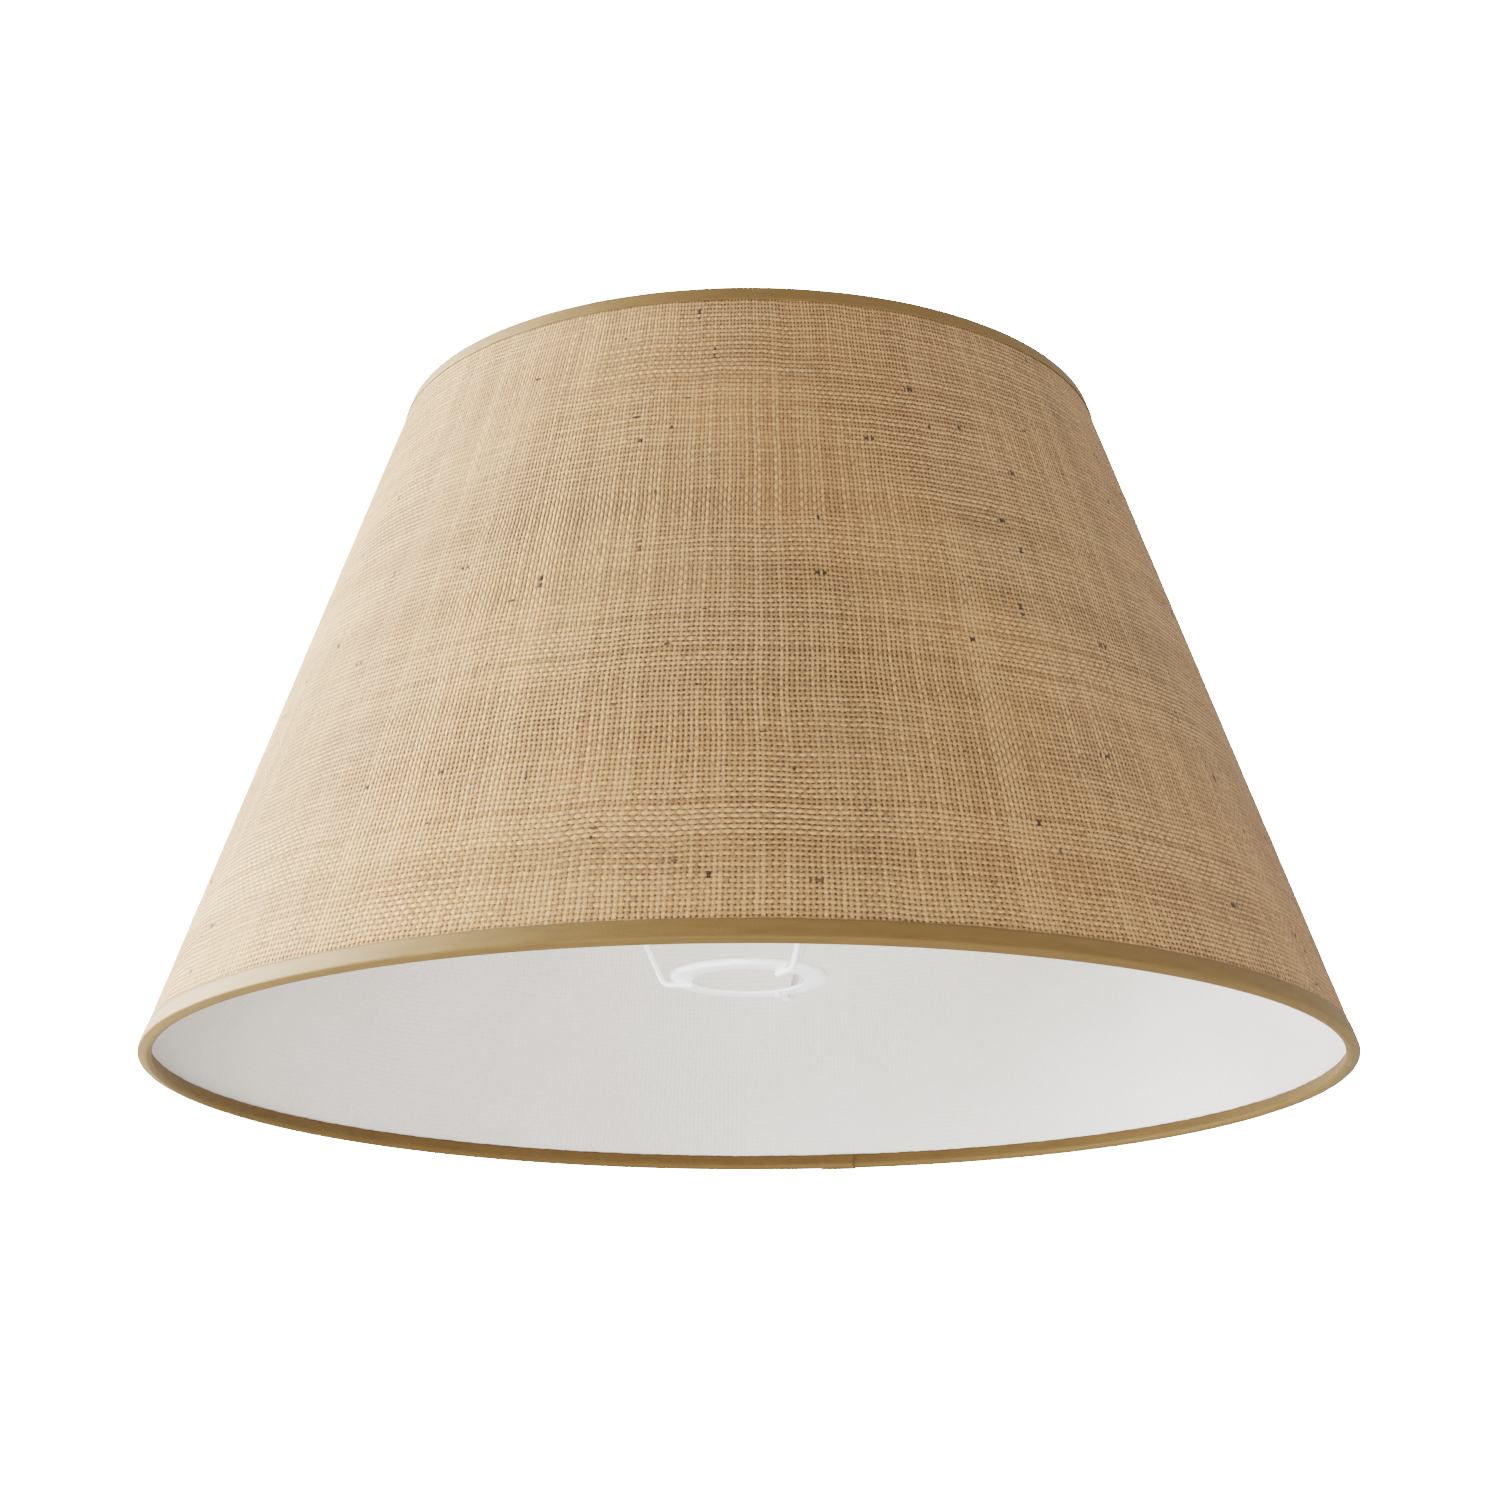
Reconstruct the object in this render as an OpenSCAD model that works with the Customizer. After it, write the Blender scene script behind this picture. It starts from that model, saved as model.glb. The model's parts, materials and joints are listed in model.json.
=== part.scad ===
// Empire lamp shade: a wire frame inside a cone of jute cloth stuck to a white lining sheet,
// with binding tape folded over both rims. It hangs on a lampholder by the ring deep inside it.
// Millimetres, +Z up. The origin is on the shade's axis, level with the lowest point of the bottom rim.

/* [Shade] */
// Diameter across the outside of the cover at its bottom edge
bottom_d = 450; // [300:5:700]
// Diameter across the outside of the cover at its top edge
top_d = 270; // [180:5:350]
// Height of the whole shade, from the lowest point of the bottom rim to the highest of the top rim
height = 260; // [160:5:450]

/* [Panel] */
// Thickness of the jute cloth
jute_t = 0.8; // [0.5:0.1:1.5]
// Thickness of the lining sheet that the jute is stuck to
lining_t = 0.4; // [0.2:0.1:0.8]
// Width of the lap where the panel closes on itself
lap_w = 12; // [6:1:25]
// Thickness of the adhesive strip inside the lap
adhesive_t = 0.2; // [0.1:0.1:0.6]
// Direction in which the lap lies, in degrees from +X
lap_angle = 90; // [80:5:100]

/* [Rims] */
// Wire diameter of the ring inside each rim
rim_wire_d = 3; // [2:0.5:5]
// Thickness of the binding tape
tape_t = 0.4; // [0.2:0.1:0.8]
// Width of tape that shows outside the bottom rim
bottom_tape_out = 7; // [5:0.5:15]
// Width of tape that shows inside the bottom rim
bottom_tape_in = 6; // [6:0.5:15]
// Width of tape that shows outside the top rim
top_tape_out = 6; // [5:0.5:15]
// Width of tape that shows inside the top rim
top_tape_in = 6; // [6:0.5:15]

/* [Fitter ring] */
// Diameter of the hole that the lampholder goes through
ring_bore_d = 42; // [28:0.5:44]
// Outside diameter of the ring
ring_od = 60; // [52:1:80]
// Thickness of the sheet steel that the ring is pressed from
ring_sheet = 1.2; // [0.8:0.1:2]
// Height of the ring with its turned-up lip
ring_h = 2.6; // [2.4:0.1:6]
// Outside radius of the bend between the flange and the lip
ring_bend_r = 1.8; // [1.3:0.1:2.4]
// Height of the ring's underside above the lowest point of the bottom rim
ring_rise = 37; // [10:1:120]

/* [Arms] */
// Wire diameter of the arms
arm_wire_d = 2.5; // [2:0.5:4]
// Radius of the bend at the foot of an arm, on the wire's centre line
arm_bend_r = 3; // [2:0.5:6]
// How far outside the ring an arm turns up
arm_standoff = 2; // [1.5:0.5:6]
// How far the end of an arm's foot stays back from the bore
foot_setback = 0.5; // [0:0.5:4]
// How far the spot weld presses a foot into the flange
weld_sink = 0.2; // [0.1:0.1:0.5]
// Gap round an arm where it passes through the tape
slit_gap = 0.3; // [0.2:0.1:1]

/* [Hidden] */
$fn = 180;

left_angle = 180;
front_right_angle = -60;
back_right_angle = 60;
arm_angles = [left_angle, front_right_angle, back_right_angle];

panel_t = jute_t + lining_t;
lap_t = adhesive_t + panel_t;
rim_wire_r = rim_wire_d / 2;
arm_r = arm_wire_d / 2;
corner_r = 2 * tape_t;
overshoot = 1;
arc_steps = 12;
// How much thicker the wire is in its bend than along its straight stretches
bend_swell = 0.02;

// A rim is drawn in its own section plane: x is the distance outwards from the cover's outer face,
// and y the distance along the cover from the rim's edge.
wire_x = -panel_t - rim_wire_r;
wire_y = tape_t + rim_wire_r;

// The edges of the cover's outer face. The rims' rounded tape sets how far they stay inside the height.
nominal_slope = atan((bottom_d - top_d) / 2 / height);
bottom_edge_z = (rim_wire_r + tape_t) - wire_y * cos(nominal_slope) - wire_x * sin(nominal_slope);
top_edge_z = height - corner_r + corner_r * cos(nominal_slope)
    - (tape_t - corner_r) * sin(nominal_slope);
bottom_edge = [bottom_d / 2, bottom_edge_z];
top_edge = [top_d / 2, top_edge_z];
slope = atan((bottom_edge.x - top_edge.x) / (top_edge.y - bottom_edge.y));

// A rim's section point in the shade's own radius and height
function bottom_rim(x, y) =
    bottom_edge + [x * cos(slope) - y * sin(slope), x * sin(slope) + y * cos(slope)];
function top_rim(x, y) =
    top_edge + [x * cos(slope) + y * sin(slope), x * sin(slope) - y * cos(slope)];

top_wire = top_rim(wire_x, wire_y);
bottom_wire = bottom_rim(wire_x, wire_y);

// An arm runs level under the ring, turns up at its knee and goes straight to the top wire
foot_end = ring_bore_d / 2 + foot_setback;
knee = [ring_od / 2 + arm_standoff, ring_rise - arm_r + weld_sink];
arm_tilt = atan2(top_wire.y - knee.y, top_wire.x - knee.x);
bend_reach = arm_bend_r * tan(arm_tilt / 2);
arm_start = knee + bend_reach * [cos(arm_tilt), sin(arm_tilt)];
// How far each straight stretch runs on into the bend, so that they join
bend_overlap = 0.1;

module bottom_frame() translate(bottom_edge) rotate(slope) children();
module top_frame() translate(top_edge) rotate(slope) mirror([0, 1]) children();

// A layer of the panel all round, from x0 to x1 outwards from the cover's outer face.
// Outside that face, in the lap, a layer is trimmed to stay level with it under the top tape.
function top_trim(x) = tape_t + max(x, 0) * tan(slope);
module cone_layer(x0, x1)
    rotate_extrude()
        polygon([
            bottom_rim(x0, tape_t), bottom_rim(x1, tape_t),
            top_rim(x1, top_trim(x1)), top_rim(x0, top_trim(x0))
        ]);

// The upright slab that cuts the lap out of a layer, from y0 to y1 along the rim
module lap_slab(y0, y1)
    rotate([0, 0, lap_angle])
        translate([0, y0, 0])
            cube([bottom_d / 2 + lap_t + 2 * overshoot, y1 - y0, height]);

module wire_ring(centre)
    rotate_extrude()
        translate(centre)
            circle(d = rim_wire_d);

module top_wire_ring() color("white") wire_ring(top_wire);

module bottom_wire_ring() color("white") wire_ring(bottom_wire);

// Pressed flange with a rounded, turned-up lip
module fitter_ring() color("whitesmoke") {
    bend_x = ring_od / 2 - ring_bend_r;
    rotate_extrude() translate([0, ring_rise]) {
        translate([ring_bore_d / 2, 0])
            square([bend_x - ring_bore_d / 2, ring_sheet]);
        difference() {
            intersection() {
                translate([bend_x, ring_bend_r]) circle(r = ring_bend_r);
                translate([bend_x, 0]) square(ring_bend_r);
            }
            translate([bend_x, ring_bend_r]) circle(r = ring_bend_r - ring_sheet);
        }
        translate([ring_od / 2 - ring_sheet, ring_bend_r])
            square([ring_sheet, ring_h - ring_bend_r]);
    }
}

// One bent wire, coped round the top wire and pressed flat against the flange
module arm(angle)
    color("whitesmoke") difference() {
        rotate([0, 0, angle]) {
            translate([foot_end, 0, knee.y]) rotate([0, 90, 0])
                cylinder(h = knee.x - bend_reach - foot_end + bend_overlap, d = arm_wire_d);
            translate([knee.x - bend_reach, 0, knee.y + arm_bend_r]) rotate([90, 0, 0])
                rotate([0, 0, -90]) rotate_extrude(angle = arm_tilt)
                    translate([arm_bend_r, 0]) circle(d = arm_wire_d + bend_swell);
            translate([arm_start.x, 0, arm_start.y]) rotate([0, 90 - arm_tilt, 0])
                translate([0, 0, -bend_overlap])
                    cylinder(h = norm(top_wire - arm_start) + bend_overlap, d = arm_wire_d);
        }
        wire_ring(top_wire);
        translate([0, 0, ring_rise])
            cylinder(h = arm_wire_d, r = ring_od / 2 - ring_bend_r);
    }

// The lining: a closed cone, and the strip of it that lies in the lap
module lining() color("white") {
    cone_layer(-panel_t, -jute_t);
    intersection() {
        cone_layer(adhesive_t, adhesive_t + lining_t);
        lap_slab(0, lap_w);
    }
}

// The cloth: a closed cone whose end steps up over its own start, to lie on top of the lap
module jute_cover() color("tan") {
    cone_layer(-jute_t, 0);
    intersection() {
        cone_layer(adhesive_t + lining_t, lap_t);
        lap_slab(0, lap_w + jute_t);
    }
    intersection() {
        cone_layer(0, lap_t);
        lap_slab(lap_w, lap_w + jute_t);
    }
}

module lap_adhesive() color("gainsboro")
    intersection() {
        cone_layer(0, adhesive_t);
        lap_slab(0, lap_w);
    }

// Points along an arc, both ends included
function arc(centre, r, from, to) =
    [for (i = [0 : arc_steps]) centre + r * [
        cos(from + (to - from) * i / arc_steps), sin(from + (to - from) * i / arc_steps)
    ]];

// The tape in section: down the cover, round the edge and the wire, and back onto the lining.
// Round the wire its inner face is drawn outside the true circle, so that it clears the wire.
module binding_section(out_w, in_w) {
    wire_centre = [wire_x, wire_y];
    fold_r = rim_wire_r + tape_t;
    tape_end = [-panel_t - tape_t, in_w];
    to_end = tape_end - wire_centre;
    touch = atan2(to_end.y, to_end.x) + acos(fold_r / norm(to_end)) - 360;
    inner_r = rim_wire_r / cos((-90 - touch) / arc_steps / 2);
    inner_arc = arc(wire_centre, inner_r, touch, -90);
    run = (-panel_t - inner_arc[0].x) / sin(touch);
    polygon(concat(
        [[tape_t, out_w]],
        arc([tape_t - corner_r, corner_r], corner_r, 0, -90),
        arc(wire_centre, fold_r, -90, touch),
        [tape_end, [-panel_t, in_w], inner_arc[0] + run * [sin(touch), -cos(touch)]],
        inner_arc,
        [[wire_x, tape_t], [0, tape_t], [0, out_w]]
    ));
}

// The tape's hump over the lap, as a block that the lap is then taken out of
module hump_section(out_w)
    translate([-tape_t, 0]) square([lap_t + 2 * tape_t, out_w]);

module lap_solid()
    intersection() {
        cone_layer(-jute_t, lap_t);
        lap_slab(0, lap_w + jute_t);
    }

module binding_hump(out_w)
    intersection() {
        rotate_extrude() children();
        lap_slab(-tape_t, lap_w + jute_t + tape_t);
    }

// The slit that lets an arm through the inside of the top tape
module arm_slit(angle)
    intersection() {
        rotate_extrude() top_frame()
            translate([wire_x - rim_wire_r - tape_t - overshoot, wire_y - slit_gap])
                square([rim_wire_d + tape_t + overshoot, top_tape_in]);
        rotate([0, 0, angle]) translate([0, -arm_r - slit_gap, 0])
            cube([top_d, arm_wire_d + 2 * slit_gap, height + overshoot]);
    }

module top_binding() color("burlywood")
    difference() {
        union() {
            rotate_extrude() top_frame() binding_section(top_tape_out, top_tape_in);
            binding_hump() top_frame() hump_section(top_tape_out);
        }
        cone_layer(-panel_t, 0);
        lap_solid();
        for (angle = arm_angles) arm_slit(angle);
    }

module bottom_binding() color("burlywood")
    difference() {
        union() {
            rotate_extrude() bottom_frame() binding_section(bottom_tape_out, bottom_tape_in);
            binding_hump() bottom_frame() hump_section(bottom_tape_out);
        }
        cone_layer(-panel_t, 0);
        lap_solid();
    }

top_wire_ring();
bottom_wire_ring();
fitter_ring();
arm(left_angle);  // arm_left
arm(front_right_angle);  // arm_front_right
arm(back_right_angle);  // arm_back_right
lining();
jute_cover();
lap_adhesive();
top_binding();
bottom_binding();
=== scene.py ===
# %% [markdown]
# # A jute lamp shade with taped rims
#
# The shade is a cone of jute cloth stuck to a white lining sheet. The sheet is rolled up, glued along
# a lap at the back, and held in shape by a wire ring in each rim. Binding tape is folded over both
# rims. Three wire arms come down from the top ring to a pressed steel ring, which sits on a lampholder.
#
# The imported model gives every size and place. Here each piece gets its real surface. Nothing is moved.

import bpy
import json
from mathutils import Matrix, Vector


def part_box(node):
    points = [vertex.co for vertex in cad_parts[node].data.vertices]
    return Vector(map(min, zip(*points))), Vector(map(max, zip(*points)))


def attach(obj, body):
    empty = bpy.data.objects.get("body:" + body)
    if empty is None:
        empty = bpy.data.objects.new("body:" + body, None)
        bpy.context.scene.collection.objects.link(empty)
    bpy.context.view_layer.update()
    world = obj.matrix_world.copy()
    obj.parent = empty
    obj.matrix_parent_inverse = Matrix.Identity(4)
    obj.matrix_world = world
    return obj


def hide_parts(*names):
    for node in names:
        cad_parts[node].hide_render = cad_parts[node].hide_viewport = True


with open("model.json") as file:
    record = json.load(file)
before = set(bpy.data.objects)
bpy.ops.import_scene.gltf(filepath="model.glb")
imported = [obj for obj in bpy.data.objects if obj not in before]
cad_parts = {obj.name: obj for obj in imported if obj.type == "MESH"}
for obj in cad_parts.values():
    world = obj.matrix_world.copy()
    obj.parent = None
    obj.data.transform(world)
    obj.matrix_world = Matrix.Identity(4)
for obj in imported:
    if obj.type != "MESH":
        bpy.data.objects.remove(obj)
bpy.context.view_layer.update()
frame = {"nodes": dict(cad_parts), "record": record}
print("packed pieces:", sorted(frame["nodes"]))

# %% The tools of this lesson
import json
import math

import bmesh
import bpy
import numpy as np
from mathutils import Vector

MM = 0.001
FULL_TURN = 2 * math.pi


# %% [markdown]
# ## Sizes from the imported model
#
# A cone is known from two points on one straight line up its side. The widest point of the packed
# cover is on its lower edge, and the highest is on its upper edge. Only the half away from the lap
# is read, because the lap stands proud. The thickness comes from the same points.

# %% Read the cone
def front_points(node):
    """Distance from the axis, and height, of a node's points on the side away from the lap."""
    points = [v.co for v in frame["nodes"][node].data.vertices]
    return [(math.hypot(p.x, p.y), p.z) for p in points if p.y < 0]


cover_points = front_points("jute_cover")
low_r, low_z = max(cover_points)
high_z = max(z for r, z in cover_points)
high_r = max(r for r, z in cover_points if z > high_z - 0.01 * MM)
slope = math.atan2(low_r - high_r, high_z - low_z)
cover_len = math.hypot(low_r - high_r, high_z - low_z)


def proud_of_cover(point):
    """How far a point of a section stands out from the cover's outer face."""
    r, z = point
    return (r - low_r) * math.cos(slope) + (z - low_z) * math.sin(slope)


jute_t = -min(proud_of_cover(p) for p in cover_points)
panel_t = -min(proud_of_cover(p) for p in front_points("lining"))
lining_t = panel_t - jute_t
print(f"cover: {2 * low_r:.4f} m to {2 * high_r:.4f} m across, {cover_len:.4f} m up its side")
print(f"cloth {jute_t / MM:.2f} mm, lining {lining_t / MM:.2f} mm, slope {math.degrees(slope):.2f} degrees")

# %% Read the rims, the wires and the fitter ring
def ring_sizes(node):
    """Radius and height of a wire ring's centre line, and the wire's own radius."""
    low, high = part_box(node)
    wire_r = (high.z - low.z) / 2
    return (high.x - low.x) / 2 - wire_r, (low.z + high.z) / 2, wire_r


def along_cover(point):
    """How far up the cover's side a point of a section lies, from the cover's lower edge."""
    r, z = point
    return (z - low_z) * math.cos(slope) - (r - low_r) * math.sin(slope)


bottom_wire_r, bottom_wire_z, rim_wire_r = ring_sizes("bottom_wire_ring")
top_wire_r, top_wire_z, rim_wire_r = ring_sizes("top_wire_ring")
wire_x = proud_of_cover((bottom_wire_r, bottom_wire_z))
wire_y = along_cover((bottom_wire_r, bottom_wire_z))
tape_t = max(proud_of_cover(p) for p in front_points("bottom_binding"))


def tape_widths(node, edge, direction):
    """How far a rim's tape reaches along the cover's outer face and along the lining."""
    points = front_points(node)
    reach = [(direction * (along_cover(p) - edge), proud_of_cover(p)) for p in points]
    out = max(y for y, x in reach if x > 0)
    back = max(y for y, x in reach if x < -jute_t)
    return out, back


bottom_widths = tape_widths("bottom_binding", 0, 1)
top_widths = tape_widths("top_binding", cover_len, -1)
ring_low, ring_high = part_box("fitter_ring")
ring_r = ring_high.x
ring_bore_r = min(r for r, z in front_points("fitter_ring"))
arm_low, arm_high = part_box("arm_left")
arm_r = (arm_high.y - arm_low.y) / 2
print(f"wire {2 * rim_wire_r / MM:.1f} mm, tape {tape_t / MM:.2f} mm thick")
print("tape outside and inside, mm:", [round(w / MM, 1) for w in (*bottom_widths, *top_widths)])
print("ring, bore and arm wire, mm:", [round(2 * r / MM, 2) for r in (ring_r, ring_bore_r, arm_r)])

# %% [markdown]
# ## The camera, the light and the floor
#
# The shade hangs in a white studio, and the camera looks up at it from a little below its rim. The
# light is soft: the room is white all round, and one large panel stands to the left, a little behind,
# so that it grazes the cloth and brings out the weave. A weaker panel below lights the inside, and a
# weak one on the right fills the shadow side.

# %% Camera
LENS = 71.1
CAMERA_PLACE = (0.0004, -1.0985, -0.205)
CAMERA_TILT = 16.89


def in_scene(name, data):
    """A new object with this data, in the scene."""
    thing = bpy.data.objects.new(name, data)
    bpy.context.scene.collection.objects.link(thing)
    return thing


camera_data = bpy.data.cameras.new("camera")
camera_data.lens = LENS
camera_data.sensor_width = 36
camera = in_scene("camera", camera_data)
camera.location = CAMERA_PLACE
camera.rotation_euler = (math.radians(90 + CAMERA_TILT), 0, 0)
bpy.context.scene.camera = camera
print("camera at", tuple(round(c, 4) for c in camera.location))


# %% Light panels
def light_panel(name, place, target, width, height, power, colour=(1, 1, 1)):
    """A soft rectangular lamp at place, facing target."""
    data = bpy.data.lights.new(name, "AREA")
    data.shape = "RECTANGLE"
    data.size = width
    data.size_y = height
    data.energy = power
    data.color = colour
    lamp = in_scene(name, data)
    lamp.location = place
    aim = Vector(target) - Vector(place)
    lamp.rotation_euler = aim.to_track_quat("-Z", "Y").to_euler()


middle = (0, 0, 0.12)
light_panel("key_panel", (-1.85, 0.35, 0.5), middle, 1.6, 2.2, 202)
light_panel("fill_panel", (1.7, -1.1, 0.2), middle, 1.2, 1.2, 11, (1, 0.93, 0.84))
light_panel("low_panel", (-0.4, -1.4, -1.0), middle, 0.8, 0.8, 27)

# %% [markdown]
# The world is a plain white. A Light Path node tells the rays that go straight to the picture from
# the rays that light the shade, so the backdrop stays pure white whatever the strength of the light.
# The Filmic view rolls bright colours off towards white, as film does, and the high-contrast look
# keeps the darks deep.

# %% White room
ROOM_LIGHT = 0.72
BACKDROP_LIGHT = 16
world = bpy.data.worlds.new("white_room")
world.use_nodes = True
nodes, links = world.node_tree.nodes, world.node_tree.links
sky, backdrop = nodes["Background"], nodes.new("ShaderNodeBackground")
for background, strength in ((sky, ROOM_LIGHT), (backdrop, BACKDROP_LIGHT)):
    background.inputs["Color"].default_value = (1, 1, 1, 1)
    background.inputs["Strength"].default_value = strength
pick = nodes.new("ShaderNodeMixShader")
links.new(nodes.new("ShaderNodeLightPath").outputs["Is Camera Ray"], pick.inputs[0])
links.new(sky.outputs[0], pick.inputs[1])
links.new(backdrop.outputs[0], pick.inputs[2])
links.new(pick.outputs[0], nodes["World Output"].inputs[0])
bpy.context.scene.world = world
bpy.context.scene.view_settings.view_transform = "Filmic"
bpy.context.scene.view_settings.look = "High Contrast"
print("room light:", ROOM_LIGHT, "and backdrop:", BACKDROP_LIGHT)

# %% [markdown]
# The floor is a pale sheet far below, as the shade hangs well above it. It only shows from above.
# A floor this big would light the shade from below as much as the room does, so here too a Light Path
# node tells the two kinds of ray apart: the picture sees a pale floor, and the shade a duller one.

# %% Pale floor
FLOOR_DROP = 1.6
FLOOR_HALF = 4
FLOOR_SEEN = (0.86, 0.86, 0.85, 1)
FLOOR_FELT = (0.42, 0.42, 0.415, 1)


def pale_floor():
    material = bpy.data.materials.new("floor_paint")
    material.use_nodes = True
    nodes, links = material.node_tree.nodes, material.node_tree.links
    nodes["Principled BSDF"].inputs["Base Color"].default_value = FLOOR_FELT
    nodes["Principled BSDF"].inputs["Roughness"].default_value = 0.9
    pale = nodes.new("ShaderNodeBsdfDiffuse")
    pale.inputs["Color"].default_value = FLOOR_SEEN
    mix = nodes.new("ShaderNodeMixShader")
    links.new(nodes.new("ShaderNodeLightPath").outputs["Is Camera Ray"], mix.inputs[0])
    links.new(nodes["Principled BSDF"].outputs[0], mix.inputs[1])
    links.new(pale.outputs[0], mix.inputs[2])
    links.new(mix.outputs[0], nodes["Material Output"].inputs["Surface"])
    mesh = bpy.data.meshes.new("floor")
    sides = ((-1, -1), (1, -1), (1, 1), (-1, 1))
    corners = [(x * FLOOR_HALF, y * FLOOR_HALF, -FLOOR_DROP) for x, y in sides]
    mesh.from_pydata(corners, [], [(0, 1, 2, 3)])
    mesh.materials.append(material)
    return in_scene("floor", mesh)


pale_floor()
print("floor at", -FLOOR_DROP, "m")


# %% [markdown]
# ## Writing shaders as sums
#
# A shader is a net of small boxes, and a long formula takes dozens of them. Two small classes let the
# formula be written as one. A `Graph` adds any node from its type, its settings and its inputs. A
# `Term` wraps one output and turns `+`, `-`, `*` and `/` into Math nodes.

# %% Graph and Term
class Term:
    """One number that varies over a surface: an output of a node."""

    def __init__(self, graph, socket):
        self.graph = graph
        self.socket = socket

    def math(self, operation, *others):
        node = self.graph.node("ShaderNodeMath", {"operation": operation}, {0: self})
        for index, other in enumerate(others, 1):
            self.graph.feed(node.inputs[index], other)
        return Term(self.graph, node.outputs[0])

    def __add__(self, other):
        return self.math("ADD", other)

    def __sub__(self, other):
        return self.math("SUBTRACT", other)

    def __mul__(self, other):
        return self.math("MULTIPLY", other)

    def __truediv__(self, other):
        return self.math("DIVIDE", other)

    def __rsub__(self, other):
        return (self * -1) + other

    def __rtruediv__(self, other):
        return self.math("POWER", -1) * other

    __radd__ = __add__
    __rmul__ = __mul__

    def floor(self):
        return self.math("FLOOR")

    def sin(self):
        return self.math("SINE")

    def power(self, exponent):
        return self.math("POWER", exponent)

    def max(self, other):
        return self.math("MAXIMUM", other)

    def min(self, other):
        return self.math("MINIMUM", other)

    def above(self, low, high):
        """0 below low and 1 above high, with a soft step between."""
        limits = {"From Min": low, "From Max": high}
        settings = {"interpolation_type": "SMOOTHSTEP"}
        node = self.graph.node("ShaderNodeMapRange", settings, {"Value": self, **limits})
        return Term(self.graph, node.outputs[0])


class Graph:
    """The node tree of a material or of a Geometry Nodes modifier."""

    def __init__(self, tree):
        self.tree = tree

    def feed(self, socket, value):
        if isinstance(value, Term):
            value = value.socket
        if isinstance(value, bpy.types.NodeSocket):
            self.tree.links.new(value, socket)
        elif hasattr(socket.default_value, "__len__") and len(socket.default_value) == 4:
            socket.default_value = (*value, 1)
        else:
            socket.default_value = value

    def node(self, kind, settings={}, inputs={}):
        """Adds a node. Its settings are made first, and then its inputs are set or linked."""
        node = self.tree.nodes.new(kind)
        for name, value in settings.items():
            setattr(node, name, value)
        for name, value in inputs.items():
            self.feed(node.inputs[name], value)
        return node

    def vector(self, x, y, z=0):
        return self.node("ShaderNodeCombineXYZ", {}, {0: x, 1: y, 2: z}).outputs[0]

    def two_counts(self, uv_map):
        """The two numbers that a piece's UV map gives at a point."""
        place = self.node("ShaderNodeUVMap", {"uv_map": uv_map}).outputs[0]
        parts = self.node("ShaderNodeSeparateXYZ", {}, {0: place}).outputs
        return Term(self, parts[0]), Term(self, parts[1])

    def noise(self, vector, scale, detail):
        inputs = {"Vector": vector, "Scale": scale, "Detail": detail, "Roughness": 0.5}
        return Term(self, self.node("ShaderNodeTexNoise", {}, inputs).outputs[0])

    def chance(self, number):
        """A random number from 0 to 1 that belongs to this whole number."""
        settings = {"noise_dimensions": "1D"}
        return Term(self, self.node("ShaderNodeTexWhiteNoise", settings, {"W": number}).outputs["Value"])

    def blend(self, factor, first, second):
        """A colour that goes from first to second."""
        inputs = {0: factor, 6: first, 7: second}
        return self.node("ShaderNodeMix", {"data_type": "RGBA"}, inputs).outputs[2]

    def bump(self, height, depth, strength=1):
        """Makes the light fall as on a relief: height from 0 to 1, depth in metres."""
        inputs = {"Height": height, "Distance": depth, "Strength": strength}
        return self.node("ShaderNodeBump", {}, inputs).outputs[0]


def finish_of(name, **constants):
    """A new material: its graph, and its Principled shader with these inputs set."""
    material = bpy.data.materials.new(name)
    material.use_nodes = True
    shader = material.node_tree.nodes["Principled BSDF"]
    graph = Graph(material.node_tree)
    for socket, value in constants.items():
        graph.feed(shader.inputs[socket.replace("_", " ")], value)
    return material, graph, shader


print("ready to write shaders")

# %% [markdown]
# ## Threads
#
# Jute is woven plain: each upright thread passes over one cross thread and under the next, and its
# neighbour does the opposite. The yarn is uneven, so every thread has its own width and colour, and
# both change along it. Two counts say where a point is: threads around the shade, and rows up its
# side. The pieces carry those counts as a UV map called `threads`, so the weave follows the cone.
#
# The relief of a thread is half a circle across it, raised and lowered along it by a sine. The higher
# of the two threads is the one that shows. Where neither reaches, there is a small hole. The holes and the
# low parts of the relief get a painted shade of dark brown. The cloth isn't evenly tight: in some
# areas the upright threads stand higher, and in others the cross threads, so the ribs change direction.
# A slow noise lifts one set and lowers the other. Another makes the yarn thicker in some areas, which
# closes the holes there.

# %% Weave as a relief
WEAVE_AROUND = 720
ROW_PITCH = 2.0 * MM
BARK_LENGTH = 2.6
WANDER = 1.6
HAIRINESS = 0.5
LEAN = 1.2
BARK_LUCK = (0.9984, 0.9986)
STAIN_LUCK = (0.986, 0.9861)

# These two are far apart, so that the two sets of threads draw different random numbers.
UPRIGHT, CROSS = 0, 500
HALF_WIDTH = {UPRIGHT: 0.28, CROSS: 0.24}


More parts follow.
